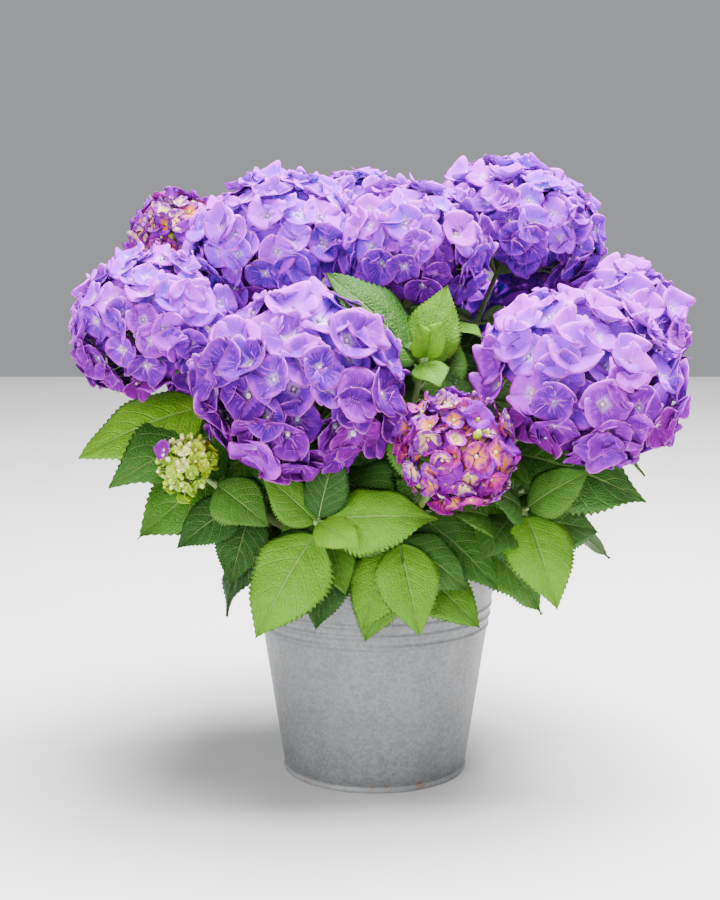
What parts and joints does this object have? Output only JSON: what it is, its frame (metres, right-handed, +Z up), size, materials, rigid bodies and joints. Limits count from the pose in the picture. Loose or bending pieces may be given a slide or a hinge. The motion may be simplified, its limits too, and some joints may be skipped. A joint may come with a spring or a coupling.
{
  "type": "potted hydrangea shrub",
  "caption": "Bushy hydrangea shrub with round violet-blue flower heads over broad toothed leaves, standing in a tapered zinc bucket.",
  "frame": {"origin": "centre of the pot's flat underside", "axes": "+Z up, -Y towards the front in the picture, +X to the viewer's right"},
  "size_m": [0.6229, 0.5525, 0.6308],
  "materials": {
    "zinc": "galvanised sheet zinc, pale grey and satin, faintly mottled",
    "soil": "dark crumbly potting soil, matt",
    "bark": "tan shrub bark, dry and finely ridged",
    "leaf": "broad soft leaves, satin green with paler veins",
    "petal": "soft matt violet-blue petals, paler at the edge",
    "young_petal": "soft matt magenta petals, cream to orange at the eye",
    "bud": "matt lime-green unopened florets"
  },
  "bodies": {
    "root": {"bough_back": "bark", "bough_back_left": "bark", "bough_back_right": "bark", "bough_bud": "bark", "bough_far_right": "bark", "bough_front": "bark", "bough_left": "bark", "bough_low_back": "bark", "bough_right": "bark", "bough_top": "bark", "bough_top_back": "bark", "bough_top_left": "bark", "bough_top_right": "bark", "bough_upper_left": "bark", "bough_young": "bark", "crown": "bark", "head_back": "petal", "head_back_left": "petal", "head_back_right": "petal", "head_bud": "bud", "head_far_right": "petal", "head_front": "petal", "head_left": "petal", "head_low_back": "young_petal", "head_right": "petal", "head_top": "petal", "head_top_back": "petal", "head_top_left": "petal", "head_top_right": "petal", "head_upper_left": "young_petal", "head_young": "young_petal", "potting_soil": "soil", "shoot_back": "leaf", "shoot_back_left": "leaf", "shoot_back_right": "leaf", "shoot_bud": "leaf", "shoot_far_right": "leaf", "shoot_front": "leaf", "shoot_left": "leaf", "shoot_low_back": "leaf", "shoot_low_back_left": "leaf", "shoot_low_back_right": "leaf", "shoot_low_front": "leaf", "shoot_low_front_left": "leaf", "shoot_low_left": "leaf", "shoot_low_right": "leaf", "shoot_low_right_front": "leaf", "shoot_middle": "leaf", "shoot_right": "leaf", "shoot_top": "leaf", "shoot_top_back": "leaf", "shoot_top_left": "leaf", "shoot_top_right": "leaf", "shoot_upper_left": "leaf", "shoot_young": "leaf", "zinc_pot": "zinc"}
  },
  "joints": []
}
